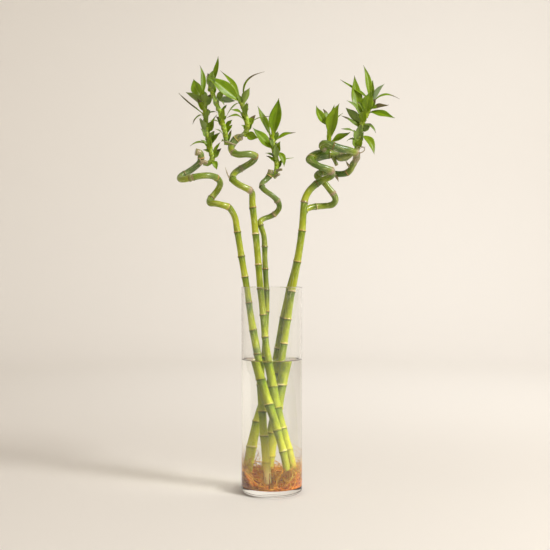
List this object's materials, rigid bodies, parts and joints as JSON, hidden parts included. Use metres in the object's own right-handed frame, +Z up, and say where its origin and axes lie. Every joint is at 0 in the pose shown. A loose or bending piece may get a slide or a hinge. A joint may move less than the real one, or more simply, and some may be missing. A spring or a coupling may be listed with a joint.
{
  "type": "lucky bamboo in glass vase",
  "caption": "Lucky bamboo: spiral canes with leafy shoots, leaning in a clear glass cylinder vase with water and a mass of orange roots at the bottom.",
  "frame": {"origin": "middle of the vase's flat underside, on the surface that it stands on", "axes": "+Z up the vase; -Y is the front, with the canes' spirals spreading along X"},
  "size_m": [0.3355, 0.1005, 0.6447],
  "materials": {
    "glass": "gloss",
    "water": "gloss",
    "cane": "satin",
    "stem": "satin",
    "leaf": "satin",
    "root": "matte"
  },
  "bodies": {
    "root": {"vase": "glass", "water": "water", "cane_far_left": "cane", "cane_left": "cane", "cane_middle": "cane", "cane_right_rear": "cane", "cane_right_front": "cane", "roots_far_left": "root", "roots_left": "root", "roots_middle": "root", "roots_right_rear": "root", "roots_right_front": "root", "stem_far_left": "stem", "stem_left_low": "stem", "stem_left_high": "stem", "stem_middle": "stem", "stem_right_rear": "stem", "stem_right_front": "stem", "leaf_far_left_1": "leaf", "leaf_far_left_2": "leaf", "leaf_far_left_3": "leaf", "leaf_far_left_4": "leaf", "leaf_far_left_5": "leaf", "leaf_far_left_6": "leaf", "leaf_far_left_7": "leaf", "leaf_far_left_8": "leaf", "leaf_left_low_1": "leaf", "leaf_left_low_2": "leaf", "leaf_left_low_3": "leaf", "leaf_left_low_4": "leaf", "leaf_left_low_5": "leaf", "leaf_left_low_6": "leaf", "leaf_left_high_1": "leaf", "leaf_left_high_2": "leaf", "leaf_left_high_3": "leaf", "leaf_left_high_4": "leaf", "leaf_left_high_5": "leaf", "leaf_left_high_6": "leaf", "leaf_left_high_7": "leaf", "leaf_left_high_8": "leaf", "leaf_middle_1": "leaf", "leaf_middle_2": "leaf", "leaf_middle_3": "leaf", "leaf_middle_4": "leaf", "leaf_middle_5": "leaf", "leaf_middle_6": "leaf", "leaf_right_rear_1": "leaf", "leaf_right_rear_2": "leaf", "leaf_right_rear_3": "leaf", "leaf_right_rear_4": "leaf", "leaf_right_rear_5": "leaf", "leaf_right_rear_6": "leaf", "leaf_right_rear_7": "leaf", "leaf_right_rear_8": "leaf", "leaf_right_rear_9": "leaf", "leaf_right_front_1": "leaf", "leaf_right_front_2": "leaf", "leaf_right_front_3": "leaf", "leaf_right_front_4": "leaf", "leaf_right_front_5": "leaf"}
  },
  "joints": []
}
